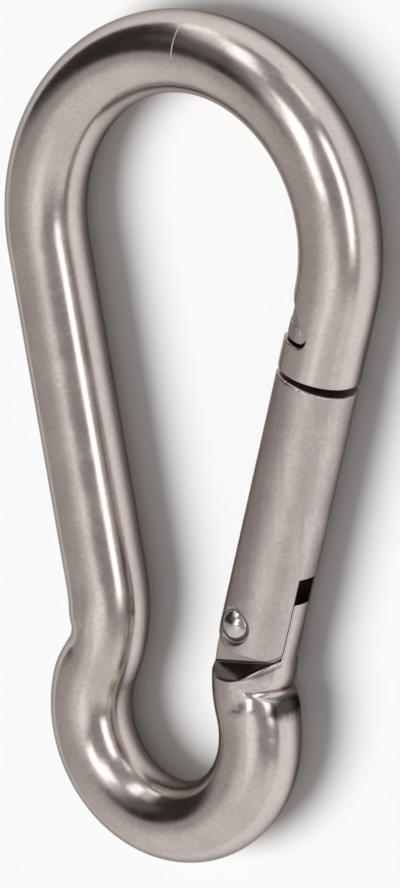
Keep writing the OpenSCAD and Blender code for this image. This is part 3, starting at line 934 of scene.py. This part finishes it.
def worn_steel(name, colour, rough, wear, grain=1.0, bar=None, gate=None):
    """Steel with a fine grain, cloudy polish, handling scuffs and short hairline scratches. bar and gate are
    the hook's shape on the bar's or the gate's own finish, which has marks, painted shade and a painted dark
    reflection that belong to its places."""
    f = Finish(name)
    f.shader.inputs["Metallic"].default_value = 1.0
    f.shader.inputs["Specular Tint"].default_value = (*GRAZING, 1.0)
    cloud = f.noise(CLOUDS, 4, 0.55)
    fine = f.noise(GRAIN, 2, 0.6)
    grit = f.noise(GRIT, 3, 0.6)
    mottle = f.math("MULTIPLY_ADD", f.noise(MOTTLE, 3, 0.7), 0.5, f.math("MULTIPLY", cloud, 0.5))
    uneven = GATE_UNEVEN if gate else UNEVEN
    tint = f.mix(f.ramp(mottle, 0.36, 0.64), tone(colour, 1 - uneven), tone(colour, 1 + uneven))
    speck = f.ramp(grit, 0.62, 0.8, 0.0, 0.35 * wear)
    tint = f.mix(speck, tint, tone(colour, SPECK_SHADE))
    line = None
    if gate:
        tint = f.drawn_streaks(tint, colour, gate)
        # Painted shade in the gate's slot
        tint = f.slot_painted_shade(tint, colour, gate)
    if bar:
        # A painted dark reflection under the neck's crease
        tint = f.crease_painted_reflection(tint, colour, bar)
        # Painted shade on the ledge beside the tang
        tint = f.mix(f.ledge_painted_shade(bar), tint, tone(colour, LEDGE_SHADE))
        line = f.hairline()
        tint = f.mix(line, tint, tone(colour, HAIRLINE_SHADE))
    f.links.new(tint, f.shader.inputs["Base Color"])
    scuff = f.ramp(f.noise(SCUFFS, 5, 0.65, distortion=0.6), 0.52, 0.75)
    base = f.math("MULTIPLY_ADD", f.ramp(cloud, 0.3, 0.7), 0.07, rough - 0.035)
    worn = f.math("MULTIPLY_ADD", scuff, 0.12 * wear, base)
    if line is not None:
        worn = f.math("MULTIPLY_ADD", line, 0.25, worn)
    f.links.new(worn, f.shader.inputs["Roughness"])
    normal = f.bump(fine, GRAIN_DEPTH, 0.22 * grain)
    scratches = []
    for turn, shift in ((0.5, 0.0), (1.9, 3.0), (2.7, 7.0)):
        lines = f.noise(SCRATCHES, 1, 0.4, f.mapped((0.4 * turn, 0.7, turn), (1, 26, 1), (shift, 0, 0)))
        scratches.append(f.ramp(f.math("ABSOLUTE", f.math("SUBTRACT", lines, 0.5)), 0.0, 0.012, 1.0, 0.0))
    patch = f.ramp(f.noise(SCRATCHED, 2, 0.5), 0.5, 0.62)
    marks = f.math("MAXIMUM", f.math("MAXIMUM", *scratches[:2]), scratches[2])
    normal = f.bump(f.math("MULTIPLY", marks, patch), -SCRATCH_DEPTH, 0.3 * wear, normal)
    if line is not None:
        normal = f.bump(line, -HAIRLINE_DEPTH, 0.6, normal)
    f.links.new(normal, f.shader.inputs["Normal"])
    return f.material


# ---------------------------------------------------------------- the studio

# Half the width of the floor
FLOOR_HALF = 30.0
# Where the camera stands, the place it looks at, and the direction that is up in its view
CAMERA_AT = Vector((0.5665, 0.26535, 0.7845))
CAMERA_AIM = Vector((0.00104, -0.00061, 0.0038))
CAMERA_UP = Vector((-0.185, 0.9624, -0.199))
# The width of its sensor in millimetres, and the distances between which it sees
SENSOR_WIDTH = 36.0
CAMERA_CLIP = (0.05, 30.0)

# Directions are an azimuth from -Y towards +X and an elevation, in degrees. Light is a radiance.
KEY_FROM = (-60, 56)
FILL = (0.26, 0.26, 0.26)
STUDIO_GREY = (0.76, 0.75, 0.745)
# name, azimuth, elevation, half width, half height, softness, light
PANELS = (
    ("left wall", -95, 30, 42, 50, 18, (0.44, 0.42, 0.41)),
    ("back wall", 128, 40, 68, 55, 14, (0.36, 0.345, 0.34)),
    ("black card", -116, 32, 29, 41, 8, (0.035, 0.030, 0.028)),
    ("dark card", -142, 50, 18, 16, 8, (0.14, 0.13, 0.125)),
    ("top streak", 38, 71, 38, 11, 9, (1.1, 1.08, 1.07)),
    ("gate streak", 57, 13, 9, 12, 6, (0.84, 0.83, 0.82)),
    ("back light", 148, 83, 45, 14, 5, (2.2, 2.2, 2.2)),
    ("back light, low end", 160, 64, 18, 12, 5, (2.2, 2.2, 2.2)),
    ("side strip", 110, 22, 27, 7, 5, (2.4, 2.4, 2.4)),
    ("far strip", -170, 28, 8, 14, 4, (1.9, 1.9, 1.9)),
    ("low panel", -153, 5, 9, 8, 4, (1.5, 1.5, 1.5)),
    ("low panel", 155, 4, 10, 7, 4, (1.4, 1.4, 1.4)),
)


def heading(azimuth, elevation):
    """The direction with this azimuth and elevation."""
    a, e = math.radians(azimuth), math.radians(elevation)
    return Vector((math.sin(a) * math.cos(e), -math.cos(a) * math.cos(e), math.sin(e)))


# ---------------------------------------------------------------- operators


def built(obj, body, slot, *nodes):
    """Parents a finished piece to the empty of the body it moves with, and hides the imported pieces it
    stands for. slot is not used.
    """
    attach(obj, body)
    if nodes:
        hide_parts(*nodes)


def shape_now():
    return HookShape(bpy.context.scene.hook_sizes)


class HOOK_OT_bar(bpy.types.Operator):
    """Bends the round bar and cuts its nose, ledge and tang"""

    bl_idname = "hook.bar"
    bl_label = "Bent bar"

    def execute(self, context):
        s, finish = context.scene.hook_sizes, context.scene.hook_finish
        shape = shape_now()
        mesh = swept("bar_rough", shape.bar_path(), shape.r, ROUGH_STEP, ROUGH_SIDES, None, shape.loop_at)
        rough = new_object("bar_rough", mesh)
        reach = 2 * s.bar_d
        tang, neck = s.tang_t / 2, s.neck_t / 2 + s.neck_clear
        cutters = [
            prism(shape, shape.ledge_outline(reach), tang, tang + reach),
            prism(shape, shape.ledge_outline(reach), -tang - reach, -tang),
            prism(shape, shape.hole_outline(), -reach, reach),
            prism(shape, shape.slot_outline(reach), -neck, neck),
            prism(shape, shape.groove_outline(reach), -reach, reach),
        ]
        cut_away(rough, cutters)
        obj = carve("bent_bar", rough, shape.bar, shape.loop_at, BAR_CELL)
        obj.data.materials.clear()
        colour, roughness = finish.bar_steel, finish.bar_rough
        obj.data.materials.append(worn_steel("polished bar steel", colour, roughness, finish.wear, bar=shape))
        built(obj, "bar", "bar_steel", "body")
        return {"FINISHED"}


class HOOK_OT_gate(bpy.types.Operator):
    """Turns and slots the gate, with its neck and cross head"""

    bl_idname = "hook.gate"
    bl_label = "Gate"

    def execute(self, context):
        finish = context.scene.hook_finish
        shape = shape_now()
        rough = new_object("gate_rough", merged_copy("gate"))
        obj = carve("sprung_gate", rough, shape.gate, shape.loop_at, GATE_CELL)
        obj.data.materials.clear()
        colour, roughness = finish.gate_steel, finish.gate_rough
        obj.data.materials.append(worn_steel("satin gate steel", colour, roughness, finish.wear, gate=shape))
        built(obj, "swing_gate", "gate_steel", "gate")
        return {"FINISHED"}


class HOOK_OT_rivet(bpy.types.Operator):
    """Turns the rivet with its two domed heads"""

    bl_idname = "hook.rivet"
    bl_label = "Rivet"

    def execute(self, context):
        s, finish = context.scene.hook_sizes, context.scene.hook_finish
        shape = shape_now()
        r, base = s.rivet_d / 2, s.head_d / 2
        dome = (base**2 + s.head_rise**2) / (2 * s.head_rise)
        half_turn = math.asin(base / dome)
        outline = [(r, 0.0), (r, shape.seat_z)]
        outline += [(base - inwards, shape.seat_z + up) for inwards, up in HEAD_RIM]
        top = shape.seat_z + s.head_rise
        for i in range(1, DOME_STEPS + 1):
            turn = half_turn * (1 - i / DOME_STEPS) * DOME_START
            outline.append((dome * math.sin(turn), top - dome * (1 - math.cos(turn))))
        profile = [(x, -z) for x, z in outline[:0:-1]] + outline[1:]

        def place(x, y, z):
            return shape.in_loop(-s.rivet_in + x, -shape.rivet_at + y, z)

        obj = new_object("rivet_pin", turned("rivet_pin", profile, RIVET_SIDES, place))
        colour, roughness = finish.rivet_steel, finish.rivet_rough
        obj.data.materials.append(worn_steel("rivet steel", colour, roughness, finish.wear, RIVET_GRAIN))
        built(obj, "swing_gate", "rivet_steel", "rivet")
        return {"FINISHED"}


class HOOK_OT_spring(bpy.types.Operator):
    """Winds the spring and finishes the follower"""

    bl_idname = "hook.spring"
    bl_label = "Spring and follower"

    def execute(self, context):
        s, finish = context.scene.hook_sizes, context.scene.hook_finish
        shape = shape_now()
        dull = worn_steel("spring steel", finish.inner_steel, finish.inner_rough, finish.wear)
        coil_r = s.bore_r - COIL_GAP - s.wire_d / 2
        low = shape.slot_top - FOLLOWER_TOP - SPRING_END_GAP - s.wire_d / 2
        span = low - shape.bore_top - SPRING_END_GAP - s.wire_d / 2
        pitch = (span - 2 * s.wire_d) / (s.turns - 2)
        path = []
        for i in range(s.turns * TURN_STEPS + 1):
            t = i / TURN_STEPS
            rise = s.wire_d + (t - 1) * pitch
            if t < 1:
                rise = t * s.wire_d
            elif t > s.turns - 1:
                rise = span - (s.turns - t) * s.wire_d
            at = (coil_r * math.cos(t * math.tau), rise - low, -coil_r * math.sin(t * math.tau))
            path.append(tuple(shape.in_loop(*at)))
        mesh = swept("coil_spring", path, s.wire_d / 2, WIRE_STEP, WIRE_SIDES, dull, Vector((0, 0, 0)))
        for polygon in mesh.polygons:
            polygon.use_smooth = True
        obj = new_object("coil_spring", mesh)
        built(obj, "swing_gate", "inner_steel", "spring")
        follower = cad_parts["plunger"]
        follower.data.materials.clear()
        follower.data.materials.append(dull)
        return {"FINISHED"}


class HOOK_OT_stage(bpy.types.Operator):
    """Lays the floor, hangs the lights and sets up the camera"""

    bl_idname = "hook.stage"
    bl_label = "Stage"

    def execute(self, context):
        scene, stage = context.scene, context.scene.hook_stage
        scene.view_settings.view_transform = "Standard"
        self.lay_floor(stage)
        self.hang_key(stage)
        self.set_world(scene)
        self.aim_camera(scene, stage)
        return {"FINISHED"}

    def lay_floor(self, stage):
        mesh = bpy.data.meshes.new("floor")
        signs = ((-1, -1), (1, -1), (1, 1), (-1, 1))
        mesh.from_pydata([(x * FLOOR_HALF, y * FLOOR_HALF, 0) for x, y in signs], [], [(0, 1, 2, 3)])
        obj = new_object("floor", mesh)
        f = Finish("floor paper")
        grain = f.ramp(f.noise(PAPER, 2), 0.3, 0.7)
        paper = f.mix(grain, tone(stage.floor, 0.995), tone(stage.floor, 1.005))
        f.links.new(paper, f.shader.inputs["Base Color"])
        f.shader.inputs["Roughness"].default_value = 0.9
        f.shader.inputs["Specular IOR Level"].default_value = 0.2
        mesh.materials.append(f.material)

    def hang_key(self, stage):
        """A large soft lamp that lights the floor and throws the shadow, and isn't seen in the steel."""
        data = bpy.data.lights.new("key", "SUN")
        data.energy = stage.key_light
        data.angle = stage.key_size
        lamp = bpy.data.objects.new("key", data)
        bpy.context.scene.collection.objects.link(lamp)
        lamp.rotation_euler = heading(*KEY_FROM).to_track_quat("Z", "Y").to_euler()
        lamp.visible_glossy = False

    def set_world(self, scene):
        """The studio as the camera and the steel see it: grey walls, soft white panels and dark cards. Other
        surfaces get an even fill light."""
        world = bpy.data.worlds.new("studio")
        scene.world = world
        world.use_nodes = True
        w = Nodes(world.node_tree)
        towards = w.nodes.new("ShaderNodeTexCoord").outputs["Generated"]

        def window(value, half, soft):
            """1 within half an angle of 0, and 0 outside it, with a soft edge."""
            return w.ramp(w.math("ABSOLUTE", value), half + soft, half - soft)

        def backdrop(colour):
            node = w.nodes.new("ShaderNodeBackground")
            return w.set(node, {"Color": colour, "Strength": 1.0}).outputs["Background"]

        colour = STUDIO_GREY
        for name, azimuth, elevation, *sizes, light in PANELS:
            turn = w.nodes.new("ShaderNodeVectorRotate")
            turn.label, turn.rotation_type = name, "Z_AXIS"
            w.set(turn, {"Vector": towards, "Angle": -math.radians(azimuth)})
            parts = w.parts(turn.outputs["Vector"])
            across = w.math("ARCTAN2", parts["X"], w.math("MULTIPLY", parts["Y"], -1.0))
            rise = w.math("SUBTRACT", w.math("ARCSINE", parts["Z"]), math.radians(elevation))
            wide, high, soft = (math.radians(size) for size in sizes)
            inside = w.math("MULTIPLY", window(across, wide, soft), window(rise, high, soft))
            colour = w.mix(inside, colour, light)
        ray = w.nodes.new("ShaderNodeLightPath").outputs
        seen = w.math("MAXIMUM", ray["Is Glossy Ray"], ray["Is Transmission Ray"])
        seen = w.math("MAXIMUM", seen, ray["Is Camera Ray"])
        both = {0: seen, 1: backdrop((*FILL, 1.0)), 2: backdrop(colour)}
        mixed = w.set(w.nodes.new("ShaderNodeMixShader"), both).outputs["Shader"]
        w.set(w.nodes.new("ShaderNodeOutputWorld"), {"Surface": mixed})

    def aim_camera(self, scene, stage):
        data = bpy.data.cameras.new("camera")
        data.lens, data.sensor_width = stage.lens, SENSOR_WIDTH
        data.clip_start, data.clip_end = CAMERA_CLIP
        data.dof.use_dof = False
        cam = new_object("camera", data)
        back = (CAMERA_AT - CAMERA_AIM).normalized()
        right = CAMERA_UP.cross(back).normalized()
        turn = Matrix((right, back.cross(right), back)).transposed()
        cam.matrix_world = Matrix.Translation(CAMERA_AT) @ turn.to_4x4()
        scene.camera = cam


class HOOK_PT_sidebar(bpy.types.Panel):
    bl_label = "Snap hook"
    bl_idname = "HOOK_PT_sidebar"
    bl_space_type = "VIEW_3D"
    bl_region_type = "UI"
    bl_category = "Snap hook"

    def draw(self, context):
        for operator in OPERATORS:
            self.layout.operator(operator.bl_idname)
        scene = context.scene
        for group in (scene.hook_sizes, scene.hook_finish, scene.hook_stage):
            box = self.layout.box()
            for name in group.__annotations__:
                box.prop(group, name)


OPERATORS = (HOOK_OT_bar, HOOK_OT_gate, HOOK_OT_rivet, HOOK_OT_spring, HOOK_OT_stage)
CLASSES = (HookSizes, HookFinish, HookStage, *OPERATORS, HOOK_PT_sidebar)


def register():
    for kind in CLASSES:
        bpy.utils.register_class(kind)
    bpy.types.Scene.hook_sizes = bpy.props.PointerProperty(type=HookSizes)
    bpy.types.Scene.hook_finish = bpy.props.PointerProperty(type=HookFinish)
    bpy.types.Scene.hook_stage = bpy.props.PointerProperty(type=HookStage)


def unregister():
    del bpy.types.Scene.hook_stage
    del bpy.types.Scene.hook_finish
    del bpy.types.Scene.hook_sizes
    for kind in reversed(CLASSES):
        bpy.utils.unregister_class(kind)


def main():
    register()
    bpy.ops.hook.bar()
    bpy.ops.hook.gate()
    bpy.ops.hook.rivet()
    bpy.ops.hook.spring()
    bpy.ops.hook.stage()


if __name__ == "__main__":
    main()
